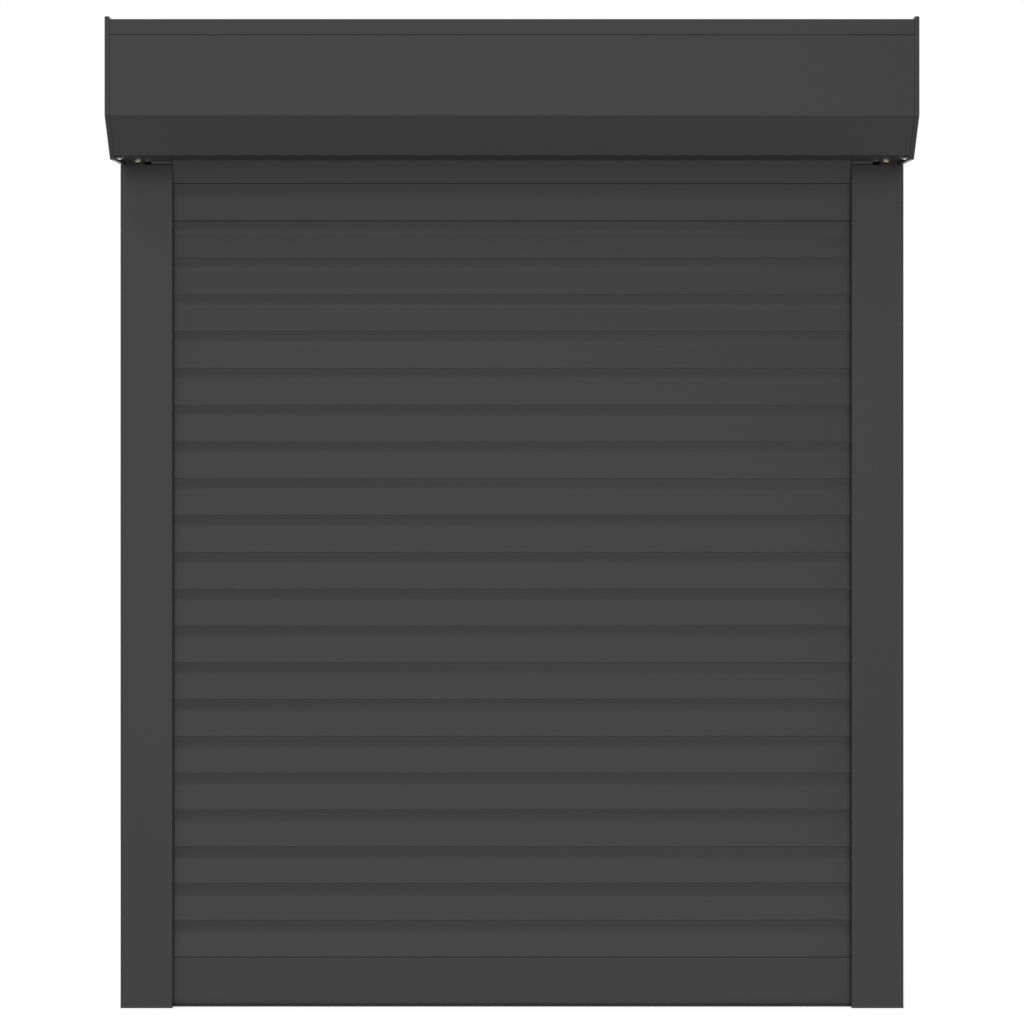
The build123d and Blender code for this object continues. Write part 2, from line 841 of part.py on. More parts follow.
with BuildPart() as shaft_plug:
    flange_x = pulley_inner_x + plug_flange
    with BuildSketch(holder_plane(-1, flange_x)):
        Circle(plug_flange_radius)
    extrude(amount=plug_flange)
    add(shaft_end(-1, flange_x))
save(shaft_plug, "shaft_plug")

with BuildPart() as strap_pulley:
    with BuildSketch(holder_plane(1, pulley_outer_x)):
        Circle(pulley_hub_radius)
    extrude(amount=pulley_width)
    for x in (pulley_outer_x, pulley_inner_x + pulley_disc):
        with BuildSketch(holder_plane(1, x)):
            Circle(pulley_radius)
        extrude(amount=pulley_disc)
    add(shaft_end(1, pulley_outer_x))
save(strap_pulley, "strap_pulley")

# Hanger strips, wrapped over the flats of the shaft and led down to the top slat
corner_radius = shaft_flats / 2 / cos(radians(180 / 8))
corner_angles = [180 / 8 + 360 / 8 * step for step in reversed(range(strip_wrap))]
top_depth, top_height, top_turn = places[-1]
hook_across = (head_back + neck_back + neck_thickness) / 2
hook_up = shoulder + hook_height + strip_end_gap
hook_depth = top_depth + hook_across * cos(radians(top_turn)) + hook_up * sin(radians(top_turn))
hook_z = top_height - hook_across * sin(radians(top_turn)) + hook_up * cos(radians(top_turn))
strip_points = [
    (shaft_forward - corner_radius * cos(radians(angle)), shaft_z + corner_radius * sin(radians(angle)))
    for angle in corner_angles
]
strip_points.append((hook_depth, hook_z))
strip_pitch = 2 * rail_inner_x / strip_count
strip_places = [strip_pitch * (index - (strip_count - 1) / 2) for index in range(strip_count)]
with BuildPart() as hanger_strips:
    for x in strip_places:
        with BuildSketch(section_plane(0, 0, x=x)):
            with BuildLine():
                outer_points = parallel_line(strip_points, strip_thickness)
                Polyline(*strip_points, *reversed(outer_points), close=True)
            make_face()
        extrude(amount=strip_width / 2, both=True)
save(hanger_strips, "hanger_strips")

# Strap outlet in the rear wall with its roller
outlet_plane = Plane(origin=(outlet_x, 0, casing_bottom + outlet_rise), x_dir=(-1, 0, 0), z_dir=(0, -1, 0))
roller_drop = outlet_opening_height / 2 - outlet_roller_radius - outlet_roller_gap
roller_y = -(outlet_box_depth + casing_sheet) / 2
roller_z = casing_bottom + outlet_rise - roller_drop
with BuildPart() as strap_guide:
    with BuildSketch(outlet_plane):
        Rectangle(outlet_box_width, outlet_box_height)
    extrude(amount=outlet_box_depth)
    with BuildSketch(outlet_plane.offset(casing_sheet)):
        Rectangle(outlet_box_width + 2 * outlet_flange, outlet_box_height + 2 * outlet_flange)
    extrude(amount=outlet_plate)
    with BuildSketch(outlet_plane.offset(-cut_overrun)):
        Rectangle(outlet_opening_width, outlet_opening_height)
    extrude(amount=outlet_box_depth + 2 * cut_overrun, mode=Mode.SUBTRACT)
    pin_start = outlet_x - outlet_opening_width / 2
    with BuildSketch(Plane(origin=(pin_start, roller_y, roller_z), x_dir=(0, 1, 0), z_dir=(1, 0, 0))):
        Circle(outlet_pin_radius)
    extrude(amount=outlet_opening_width)
save(strap_guide, "strap_guide")

with BuildPart() as strap_roller:
    roller_start = pin_start + outlet_roller_gap
    with BuildSketch(Plane(origin=(roller_start, roller_y, roller_z), x_dir=(0, 1, 0), z_dir=(1, 0, 0))):
        Circle(outlet_roller_radius)
        Circle(outlet_pin_radius + pin_fit, mode=Mode.SUBTRACT)
    extrude(amount=outlet_opening_width - 2 * outlet_roller_gap)
save(strap_roller, "strap_roller")
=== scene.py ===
import json
import math

import bpy
from mathutils import Matrix, Vector


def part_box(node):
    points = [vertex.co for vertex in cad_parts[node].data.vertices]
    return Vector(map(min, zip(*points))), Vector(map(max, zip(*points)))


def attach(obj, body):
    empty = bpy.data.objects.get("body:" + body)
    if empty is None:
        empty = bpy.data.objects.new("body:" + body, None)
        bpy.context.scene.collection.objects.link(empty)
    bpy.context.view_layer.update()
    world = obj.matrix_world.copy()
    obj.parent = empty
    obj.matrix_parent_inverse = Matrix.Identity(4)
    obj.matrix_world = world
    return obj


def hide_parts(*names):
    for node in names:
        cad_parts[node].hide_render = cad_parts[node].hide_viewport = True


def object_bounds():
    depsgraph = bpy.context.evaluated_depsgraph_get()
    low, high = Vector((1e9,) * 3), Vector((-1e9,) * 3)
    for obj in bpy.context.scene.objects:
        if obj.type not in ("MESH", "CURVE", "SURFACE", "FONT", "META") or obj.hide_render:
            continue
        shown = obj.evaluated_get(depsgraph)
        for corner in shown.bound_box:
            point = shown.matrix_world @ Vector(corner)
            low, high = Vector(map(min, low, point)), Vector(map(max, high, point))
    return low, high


bl_info = {
    "name": "Exterior Roller Shutter",
    "version": (1, 0, 0),
    "blender": (4, 5, 0),
    "location": "View3D > Sidebar > Shutter",
    "description": "Finishes, small fittings and studio for an exterior roller shutter",
    "category": "Object",
}

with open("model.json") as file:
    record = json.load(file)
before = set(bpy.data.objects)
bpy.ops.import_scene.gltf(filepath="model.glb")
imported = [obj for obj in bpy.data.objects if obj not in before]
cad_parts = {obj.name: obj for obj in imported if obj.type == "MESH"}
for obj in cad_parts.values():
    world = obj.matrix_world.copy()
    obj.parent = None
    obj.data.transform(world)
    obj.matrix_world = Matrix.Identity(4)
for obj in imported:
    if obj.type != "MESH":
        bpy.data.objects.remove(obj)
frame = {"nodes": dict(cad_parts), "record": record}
nodes = frame["nodes"]
frame_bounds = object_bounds()

mm = 0.001
round_smooth = math.radians(35)
edged_smooth = math.radians(30)
upright = 0.9          # least Z of the normal of an upper face
level = 0.99           # least Z of the normal of a level face
round_sides = 32
bearing_sides = 64
tuft_sides = 5
drawn_along_x = (0.02, 1, 1)
fibres_along_y = (1, 0.1, 1)


def nodes_of(slot_name):
    """CAD nodes that the record gives one material slot."""
    subparts = frame["record"]["subparts"]
    return [part["node"] for part in subparts if part["material_slot"] == slot_name]


class ShutterFinishes(bpy.types.PropertyGroup):
    """Colours and gloss of the finishes"""
    coat_colour: bpy.props.FloatVectorProperty(
        name="Coat", description="Grey coating of slats, box and rails", subtype="COLOR",
        size=3, min=0, max=1, default=(0.026, 0.026, 0.026))
    coat_roughness: bpy.props.FloatProperty(
        name="Coat Roughness", description="Satin of the coating", subtype="FACTOR",
        min=0, max=1, default=0.34)
    coat_gloss: bpy.props.FloatProperty(
        name="Coat Gloss", description="Strength of the coating's sheen", subtype="FACTOR",
        min=0, max=1, default=0.24)
    plastic_colour: bpy.props.FloatVectorProperty(
        name="Plastic", description="Moulded fittings", subtype="COLOR",
        size=3, min=0, max=1, default=(0.018, 0.018, 0.019))
    rubber_colour: bpy.props.FloatVectorProperty(
        name="Rubber", description="Seal under the bottom bar", subtype="COLOR",
        size=3, min=0, max=1, default=(0.006, 0.006, 0.006))
    pile_colour: bpy.props.FloatVectorProperty(
        name="Pile", description="Brush pile in rails and box mouth", subtype="COLOR",
        size=3, min=0, max=1, default=(0.008, 0.008, 0.008))
    steel_colour: bpy.props.FloatVectorProperty(
        name="Zinced Steel", description="Shaft, hangers, bearings and inner screws",
        subtype="COLOR", size=3, min=0, max=1, default=(0.52, 0.53, 0.54))
    aluminium_colour: bpy.props.FloatVectorProperty(
        name="Bare Aluminium", description="Rivets", subtype="COLOR",
        size=3, min=0, max=1, default=(0.62, 0.62, 0.62))
    brass_colour: bpy.props.FloatVectorProperty(
        name="Brass", description="Screws under the box", subtype="COLOR",
        size=3, min=0, max=1, default=(0.62, 0.52, 0.32))


class ShutterFittings(bpy.types.PropertyGroup):
    """Sizes of the small fittings"""
    rivet_dome: bpy.props.FloatProperty(
        name="Rivet Dome", description="Height of a rivet head", subtype="DISTANCE", unit="LENGTH",
        min=0.0005, max=0.0012, default=0.001)
    button_radius: bpy.props.FloatProperty(
        name="Button Radius", description="Head that holds a hanger strip on the shaft",
        subtype="DISTANCE", unit="LENGTH", min=0.002, max=0.005, default=0.0032)
    button_height: bpy.props.FloatProperty(
        name="Button Height", description="Height of that head", subtype="DISTANCE", unit="LENGTH",
        min=0.0005, max=0.003, default=0.0014)
    screw_flange: bpy.props.FloatProperty(
        name="Screw Flange", description="Radius of the flange under a bearing holder's screw head",
        subtype="DISTANCE", unit="LENGTH", min=0.003, max=0.006, default=0.0042)
    shield_depth: bpy.props.FloatProperty(
        name="Shield Depth", description="Depth of a bearing's shield in its face",
        subtype="DISTANCE", unit="LENGTH", min=0.0002, max=0.001, default=0.0005)
    tuft_pitch: bpy.props.FloatProperty(
        name="Tuft Pitch", description="Distance between tufts of the brush piles",
        subtype="DISTANCE", unit="LENGTH", min=0.001, max=0.004, default=0.0023)
    tuft_root: bpy.props.FloatProperty(
        name="Tuft Root", description="Thickness of the band that holds the tufts",
        subtype="DISTANCE", unit="LENGTH", min=0.0002, max=0.001, default=0.0006)


class StudioSettings(bpy.types.PropertyGroup):
    """Camera and light"""
    camera_distance: bpy.props.FloatProperty(
        name="Camera Distance", description="Camera to wall plane", subtype="DISTANCE",
        unit="LENGTH", min=1, max=6, default=2.951)
    camera_height: bpy.props.FloatProperty(
        name="Camera Height", description="Camera above the frame's origin", subtype="DISTANCE",
        unit="LENGTH", min=-1, max=1, default=0.0761)
    lens: bpy.props.FloatProperty(
        name="Lens", description="Focal length in millimetres", min=20, max=200, default=100.8)
    front_strength: bpy.props.FloatProperty(
        name="Front Light", description="Strength of the soft light from the front",
        min=0, max=5, default=0.26)
    top_strength: bpy.props.FloatProperty(
        name="Top Light", description="Strength of the soft light from above the front",
        min=0, max=5, default=0.9)
    under_strength: bpy.props.FloatProperty(
        name="Low Light", description="Strength of the soft light from below the front",
        min=0, max=5, default=1.3)
    room_strength: bpy.props.FloatProperty(
        name="Room Light", description="Strength of the even light from all round",
        min=0, max=2, default=0.45)


def settings():
    """The three groups of settings of the scene."""
    scene = bpy.context.scene
    return scene.shutter_finishes, scene.shutter_fittings, scene.shutter_studio


# Shared surface effects


def new_effect(name, inputs, outputs):
    """Node group with named sockets, and its input and output nodes."""
    tree = bpy.data.node_groups.new(name, "ShaderNodeTree")
    for label, kind, value in inputs:
        socket = tree.interface.new_socket(label, in_out="INPUT", socket_type=kind)
        socket.default_value = value
    for label, kind in outputs:
        tree.interface.new_socket(label, in_out="OUTPUT", socket_type=kind)
    return tree, tree.nodes.new("NodeGroupInput"), tree.nodes.new("NodeGroupOutput")


def add_math(tree, operation, first, second):
    """Math node; each operand is a socket or a number."""
    node = tree.nodes.new("ShaderNodeMath")
    node.operation = operation
    for socket, value in zip(node.inputs, (first, second)):
        if hasattr(value, "is_linked"):
            tree.links.new(value, socket)
        else:
            socket.default_value = value
    return node.outputs[0]


def add_noise(tree, position, scale, detail, stretch=(1, 1, 1)):
    """Noise over Object coordinates, stretched along an axis where the finish is."""
    mapping = tree.nodes.new("ShaderNodeMapping")
    mapping.inputs["Scale"].default_value = stretch
    tree.links.new(position, mapping.inputs["Vector"])
    noise = tree.nodes.new("ShaderNodeTexNoise")
    noise.inputs["Detail"].default_value = detail
    if hasattr(scale, "is_linked"):
        tree.links.new(scale, noise.inputs["Scale"])
    else:
        noise.inputs["Scale"].default_value = scale
    tree.links.new(mapping.outputs["Vector"], noise.inputs["Vector"])
    return noise.outputs["Fac"]


def tint(tree, colour, factor):
    """Colour multiplied by a grey factor."""
    node = tree.nodes.new("ShaderNodeMix")
    node.data_type = "RGBA"
    node.blend_type = "MULTIPLY"
    node.inputs["Factor"].default_value = 1
    tree.links.new(colour, node.inputs["A"])
    tree.links.new(factor, node.inputs["B"])
    return node.outputs["Result"]


def spread(tree, value, amount):
    """Value from 0 to 1 made a factor around 1."""
    centred = add_math(tree, "SUBTRACT", value, 0.5)
    scaled = add_math(tree, "MULTIPLY", centred, amount)
    return add_math(tree, "ADD", scaled, 1)


def grain_effect(name, stretch):
    """Colour, roughness and height of a grained finish, grain drawn out by stretch."""
    tree, source, result = new_effect(
        name,
        [("Colour", "NodeSocketColor", (0.5, 0.5, 0.5, 1)), ("Roughness", "NodeSocketFloat", 0.5),
         ("Grain Scale", "NodeSocketFloat", 900.0), ("Grain Amount", "NodeSocketFloat", 0.2),
         ("Cloud Amount", "NodeSocketFloat", 0.1)],
        [("Colour", "NodeSocketColor"), ("Roughness", "NodeSocketFloat"),
         ("Height", "NodeSocketFloat")])
    position = tree.nodes.new("ShaderNodeTexCoord").outputs["Object"]
    grain = add_noise(tree, position, source.outputs["Grain Scale"], detail=2, stretch=stretch)
    cloud = add_noise(tree, position, scale=3.0, detail=3)
    grain_amount = source.outputs["Grain Amount"]
    tone = add_math(tree, "MULTIPLY", spread(tree, grain, grain_amount),
                    spread(tree, cloud, source.outputs["Cloud Amount"]))
    tree.links.new(tint(tree, source.outputs["Colour"], tone), result.inputs["Colour"])
    rough = add_math(tree, "MULTIPLY", source.outputs["Roughness"],
                     spread(tree, grain, grain_amount))
    tree.links.new(rough, result.inputs["Roughness"])
    tree.links.new(grain, result.inputs["Height"])
    return tree


def effect(name, stretch=(1, 1, 1)):
    """The named effect, built on first use."""
    return bpy.data.node_groups.get(name) or grain_effect(name, stretch)


def finish_material(name, effect_tree, colour, roughness, scale, grain, cloud, bump,
                    metallic=0, gloss=0.5):
    """Principled material whose colour, roughness and bump come from a shared effect."""
    material = bpy.data.materials.new(name)
    material.use_nodes = True
    tree = material.node_tree
    shader = tree.nodes["Principled BSDF"]
    shader.inputs["Metallic"].default_value = metallic
    shader.inputs["Specular IOR Level"].default_value = gloss
    group = tree.nodes.new("ShaderNodeGroup")
    group.node_tree = effect_tree
    group.inputs["Colour"].default_value = (*colour, 1)
    group.inputs["Roughness"].default_value = roughness
    group.inputs["Grain Scale"].default_value = scale
    group.inputs["Grain Amount"].default_value = grain
    group.inputs["Cloud Amount"].default_value = cloud
    bump_node = tree.nodes.new("ShaderNodeBump")
    bump_node.inputs["Strength"].default_value = bump
    bump_node.inputs["Distance"].default_value = 0.2 * mm
    tree.links.new(group.outputs["Colour"], shader.inputs["Base Color"])
    tree.links.new(group.outputs["Roughness"], shader.inputs["Roughness"])
    tree.links.new(group.outputs["Height"], bump_node.inputs["Height"])
    tree.links.new(bump_node.outputs["Normal"], shader.inputs["Normal"])
    return material


def dress(names, material):
    """Gives CAD nodes one material."""
    for name in names:
        mesh = nodes[name].data
        mesh.materials.clear()
        mesh.materials.append(material)


# Modelling steps, as by hand


def clear_selection():
    """Leaves edit mode and deselects everything."""
    if bpy.context.object and bpy.context.object.mode != "OBJECT":
        bpy.ops.object.mode_set(mode="OBJECT")
    bpy.ops.object.select_all(action="DESELECT")


def pick_faces(test):
    """In edit mode, selects the faces of the active mesh that pass a test."""
    obj = bpy.context.object
    bpy.ops.mesh.select_mode(type="FACE")
    bpy.ops.mesh.select_all(action="DESELECT")
    bpy.ops.object.mode_set(mode="OBJECT")
    for face in obj.data.polygons:
        face.select = test(face)
    bpy.ops.object.mode_set(mode="EDIT")


def settle(obj):
    """Applies place, turn and size, so that the piece stands at the origin."""
    clear_selection()
    obj.select_set(True)
    bpy.context.view_layer.objects.active = obj
    bpy.ops.object.transform_apply(location=True, rotation=True, scale=True)


def copy_to(obj, name, matrix):
    """Copy with a mesh of its own, placed by a matrix."""
    twin = obj.copy()
    twin.data = obj.data.copy()
    twin.name = name
    twin.matrix_world = matrix
    bpy.context.scene.collection.objects.link(twin)
    return twin


def join_pieces(pieces, name):
    """Settles pieces and joins them into one."""
    for piece in pieces:
        settle(piece)
    clear_selection()
    for piece in pieces:
        piece.select_set(True)
    bpy.context.view_layer.objects.active = pieces[0]
    if len(pieces) > 1:
        bpy.ops.object.join()
    whole = bpy.context.object
    whole.name = name
    whole.data.name = name
    return whole


def domed_button(name, radius, height, pit_radius):
    """Round head standing on the XY plane with a pit in its dome."""
    rounding = height * 0.85
    least_rim = radius * 0.05
    pit_depth = height * 0.35
    clear_selection()
    bpy.ops.mesh.primitive_cylinder_add(vertices=round_sides, radius=radius, depth=height,
                                        location=(0, 0, height / 2))
    obj = bpy.context.object
    obj.name = name
    settle(obj)
    bpy.ops.object.mode_set(mode="EDIT")
    pick_faces(lambda face: face.normal.z > upright)
    bpy.ops.mesh.bevel(offset=rounding, segments=5, profile=0.5, affect="EDGES")
    pick_faces(lambda face: face.normal.z > level and face.center.z > height * 0.9)
    bpy.ops.mesh.inset(thickness=max(radius - rounding - pit_radius, least_rim))
    bpy.ops.mesh.extrude_region_move(TRANSFORM_OT_translate={"value": (0, 0, -pit_depth)})
    bpy.ops.object.mode_set(mode="OBJECT")
    bpy.ops.object.shade_smooth_by_angle(angle=round_smooth)
    return obj


class SHUTTER_OT_coat(bpy.types.Operator):
    """Gives slats, box and rails their grey coating"""
    bl_idname = "shutter.coat"
    bl_label = "Coated Sheets and Profiles"

    def execute(self, context):
        finishes, _, _ = settings()
        coating = finish_material(
            "grey_coating", effect("Fine Coat"), finishes.coat_colour, finishes.coat_roughness,
            scale=1400.0, grain=0.12, cloud=0.03, bump=0.06, gloss=finishes.coat_gloss)
        dress(nodes_of("grey_coated_aluminium"), coating)
        return {"FINISHED"}


class SHUTTER_OT_plastics(bpy.types.Operator):
    """Gives plugs, inlets, clips and pulley moulded plastic, and the seal its rubber"""
    bl_idname = "shutter.plastics"
    bl_label = "Plastic and Rubber"

    def execute(self, context):
        finishes, _, _ = settings()
        plastic = finish_material(
            "moulded_plastic", effect("Fine Coat"), finishes.plastic_colour, roughness=0.55,
            scale=700.0, grain=0.2, cloud=0.06, bump=0.1)
        rubber = finish_material(
            "seal_rubber", effect("Drawn Grain", drawn_along_x), finishes.rubber_colour,
            roughness=0.7, scale=900.0, grain=0.4, cloud=0.1, bump=0.2)
        dress(nodes_of("dark_plastic"), plastic)
        dress(nodes_of("black_rubber"), rubber)
        return {"FINISHED"}


class SHUTTER_OT_metals(bpy.types.Operator):
    """Gives shaft, hangers, bearings and screws their bare metals"""
    bl_idname = "shutter.metals"
    bl_label = "Bare Metals"

    def execute(self, context):
        finishes, _, _ = settings()
        steel = finish_material(
            "zinced_steel", effect("Drawn Grain", drawn_along_x), finishes.steel_colour,
            roughness=0.38, scale=500.0, grain=0.25, cloud=0.15, bump=0.1, metallic=1)
        brass = finish_material(
            "screw_brass", effect("Fine Coat"), finishes.brass_colour, roughness=0.35,
            scale=900.0, grain=0.15, cloud=0.1, bump=0.1, metallic=1)
        dress(nodes_of("zinced_steel"), steel)
        dress(nodes_of("plain_brass"), brass)
        return {"FINISHED"}


def groups_of(name, reach):
    """Low and high corner of each solid of a CAD node; its points lie within reach of the first."""
    groups = []
    for vertex in nodes[name].data.vertices:
        near = [group for group in groups if (group[0] - vertex.co).length < reach]
        if near:
            near[0].append(vertex.co.copy())
        else:
            groups.append([vertex.co.copy()])
    return [(Vector([min(point[axis] for point in group) for axis in range(3)]),
             Vector([max(point[axis] for point in group) for axis in range(3)]))
            for group in groups]


def node_middle(name):
    """Middle of a CAD node's box at rest."""
    low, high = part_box(name)
    return (Vector(low) + Vector(high)) / 2


def facing(place, direction):
    """Matrix that seats a piece at a place with its Z axis along a direction."""
    turn = Vector(direction).to_track_quat("Z", "Y").to_matrix().to_4x4()
    return Matrix.Translation(place) @ turn


def finish_piece(piece, material, body, replaced=None):
    """Gives a modelled piece its material and its moving body, and hides the CAD node it replaces.
    """
    piece.data.materials.clear()
    piece.data.materials.append(material)
    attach(piece, body)
    if replaced:
        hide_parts(replaced)


def seat_copies(model, seats, name):
    """Copies of a model on all seats as one piece; the model itself goes."""
    pieces = [copy_to(model, f"{name}_{index}", seat) for index, seat in enumerate(seats)]
    bpy.data.objects.remove(model)
    return join_pieces(pieces, name)


class SHUTTER_OT_rivets(bpy.types.Operator):
    """Domed rivets that hold the sheets of the box to its end caps"""
    bl_idname = "shutter.rivets"
    bl_label = "Box Rivets"

    def execute(self, context):
        finishes, fittings, _ = settings()
        aluminium = finish_material(
            "rivet_aluminium", effect("Fine Coat"), finishes.aluminium_colour, roughness=0.4,
            scale=900.0, grain=0.2, cloud=0.1, bump=0.1, metallic=1)
        row_middle = node_middle("casing_rivets").z
        seats = []
        for low, high in groups_of("casing_rivets", reach=8 * mm):
            middle = (low + high) / 2
            if middle.z > row_middle:
                seats.append(facing((middle.x, middle.y, low.z), (0, 0, 1)))
            else:
                seats.append(facing((middle.x, middle.y, high.z), (0, 0, -1)))
        radius = (high.x - low.x) / 2
        model = domed_button("rivet_model", radius, fittings.rivet_dome, pit_radius=radius * 0.35)
        rivets = seat_copies(model, seats, "box_rivets")
        finish_piece(rivets, aluminium, "frame", "casing_rivets")
        return {"FINISHED"}


class SHUTTER_OT_plate_screws(bpy.types.Operator):
    """Flanged hexagon screws of the bearing holders"""
    bl_idname = "shutter.plate_screws"
    bl_label = "Bearing Holder Screws"

    def execute(self, context):
        _, fittings, _ = settings()
        seats = []
        for low, high in groups_of("holder_screws", reach=12 * mm):
            middle = (low + high) / 2
            side = 1 if middle.x > 0 else -1
            seat_x = high.x if side > 0 else low.x
            seats.append(facing((seat_x, middle.y, middle.z), (-side, 0, 0)))
        height = high.x - low.x
        radius = (high.y - low.y) / 2
        model = flanged_screw("screw_model", radius, height, fittings.screw_flange)
        screws = seat_copies(model, seats, "plate_screws")
        steel = bpy.data.materials["zinced_steel"]
        finish_piece(screws, steel, "frame", "holder_screws")
        return {"FINISHED"}


def flanged_screw(name, radius, height, flange_radius):
    """Hexagon head with a dished top on a round flange, standing on the XY plane."""
    flange_height = height * 0.3
    rim = radius * 0.3
    dish_depth = height * 0.2
    clear_selection()
    bpy.ops.mesh.primitive_cylinder_add(vertices=round_sides, radius=flange_radius,
                                        depth=flange_height, location=(0, 0, flange_height / 2))
    flange = bpy.context.object
    bpy.ops.object.mode_set(mode="EDIT")
    pick_faces(lambda face: face.normal.z > upright)
    bpy.ops.mesh.bevel(offset=flange_height * 0.6, segments=2, affect="EDGES")
    bpy.ops.object.mode_set(mode="OBJECT")
    bpy.ops.mesh.primitive_cylinder_add(vertices=6, radius=radius, depth=height,
                                        location=(0, 0, height / 2))
    head = bpy.context.object
    bpy.ops.object.mode_set(mode="EDIT")
    pick_faces(lambda face: face.normal.z > upright)
    bpy.ops.mesh.bevel(offset=height * 0.15, segments=2, affect="EDGES")
    pick_faces(lambda face: face.normal.z > level)
    bpy.ops.mesh.inset(thickness=rim)
    bpy.ops.mesh.extrude_region_move(TRANSFORM_OT_translate={"value": (0, 0, -dish_depth)})
    bpy.ops.object.mode_set(mode="OBJECT")
    screw = join_pieces([head, flange], name)
    bpy.ops.object.shade_smooth_by_angle(angle=edged_smooth)
    return screw


class SHUTTER_OT_bearings(bpy.types.Operator):
    """Ball bearings of the shaft with their races and shields"""
    bl_idname = "shutter.bearings"
    bl_label = "Shaft Bearings"

    def execute(self, context):
        _, fittings, _ = settings()
        seats = []
        for low, high in groups_of("ball_bearings", reach=60 * mm):
            middle = (low + high) / 2
            seats.append(facing(middle, (1, 0, 0)))
        bore = min((Vector(vertex.co[1:]) - Vector(middle[1:])).length
                   for vertex in nodes["ball_bearings"].data.vertices)
        radius = (high.y - low.y) / 2
        width = high.x - low.x
        model = shielded_ring("bearing_model", radius, bore, width, fittings.shield_depth)
        bearings = seat_copies(model, seats, "shaft_bearings")
        steel = bpy.data.materials["zinced_steel"]
        finish_piece(bearings, steel, "frame", "ball_bearings")
        return {"FINISHED"}


def shielded_ring(name, radius, bore, width, shield_depth):
    """Bearing around the Z axis: two races with a sunk shield between them on each face."""
    race = (radius - bore) * 0.22
    rounding = race * 0.25
    shield = radius - bore - 2 * race
    clear_selection()
    bpy.ops.mesh.primitive_cylinder_add(vertices=bearing_sides, radius=radius, depth=width)
    ring = bpy.context.object
    ring.name = name
    bpy.ops.object.mode_set(mode="EDIT")
    for end in (1, -1):
        def on_end(face):
            return face.normal.z * end > level and len(face.vertices) == bearing_sides
        inwards = {"value": (0, 0, -end * shield_depth)}
        outwards = {"value": (0, 0, end * shield_depth)}
        pick_faces(on_end)
        bpy.ops.mesh.bevel(offset=rounding, segments=2, affect="EDGES")
        pick_faces(on_end)
        bpy.ops.mesh.inset(thickness=race - rounding)
        bpy.ops.mesh.extrude_region_move(TRANSFORM_OT_translate=inwards)
        bpy.ops.mesh.inset(thickness=shield)
        bpy.ops.mesh.extrude_region_move(TRANSFORM_OT_translate=outwards)
        bpy.ops.mesh.inset(thickness=race)
    pick_faces(lambda face: abs(face.normal.z) > level and len(face.vertices) == bearing_sides)
    bpy.ops.mesh.bridge_edge_loops()
    bpy.ops.mesh.select_all(action="SELECT")
    bpy.ops.mesh.normals_make_consistent(inside=False)
    bpy.ops.object.mode_set(mode="OBJECT")
    bpy.ops.object.shade_smooth_by_angle(angle=edged_smooth)
    return ring


class SHUTTER_OT_buttons(bpy.types.Operator):
    """Button heads that hold the hanger strips on the shaft"""
    bl_idname = "shutter.buttons"
    bl_label = "Hanger Buttons"

    def execute(self, context):
        _, fittings, _ = settings()
        axis = node_middle("shaft_tube")
        seats = []
        for low, high in groups_of("hanger_strips", reach=100 * mm):
            foot = Vector(((low.x + high.x) / 2, axis.y, axis.z))
            height = high.z - axis.z
            for angle in (0, math.radians(45)):
                out = Vector((0, math.sin(angle), math.cos(angle)))
                seats.append(facing(foot + out * height, out))
        radius = fittings.button_radius
        model = domed_button("button_model", radius, fittings.button_height,
                             pit_radius=radius * 0.4)
        buttons = seat_copies(model, seats, "hanger_buttons")
        steel = bpy.data.materials["zinced_steel"]
        finish_piece(buttons, steel, "shaft")
        return {"FINISHED"}


class SHUTTER_OT_piles(bpy.types.Operator):
    """Tufted brush piles in the lips of the rails and the mouth of the box"""
    bl_idname = "shutter.piles"
    bl_label = "Brush Piles"

    def execute(self, context):
        finishes, _, _ = settings()
        pile = finish_material(
            "brush_pile", effect("Drawn Pile", fibres_along_y), finishes.pile_colour,
            roughness=0.9, scale=2500.0, grain=0.8, cloud=0.1, bump=0.6)
        curtain_y = node_middle("rail_piles").y
        bands = []
        for low, high in pile_blocks("rail_piles"):
            bands.append(tuft_band(low, high, along=2, root_side=1 if high.y > curtain_y else -1))
        rail_tufts = join_pieces(bands, "rail_tufts")
        finish_piece(rail_tufts, pile, "frame", "rail_piles")
        low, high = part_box("mouth_brush")
        mouth_band = tuft_band(Vector(low), Vector(high), along=0, root_side=-1)
        mouth_tufts = join_pieces([mouth_band], "mouth_tufts")
        finish_piece(mouth_tufts, pile, "frame", "mouth_brush")
        return {"FINISHED"}


def pile_blocks(name):
    """Low and high corner of the four blocks of the rail piles."""
    low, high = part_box(name)
    points = [vertex.co for vertex in nodes[name].data.vertices]
    depths = sorted({round(point.y, 5) for point in points})
    widths = sorted({round(point.x, 5) for point in points})
    return [(Vector((x_low, y_low, low[2])), Vector((x_high, y_high, high[2])))
            for x_low, x_high in (widths[:2], widths[2:])
            for y_low, y_high in (depths[:2], depths[2:])]


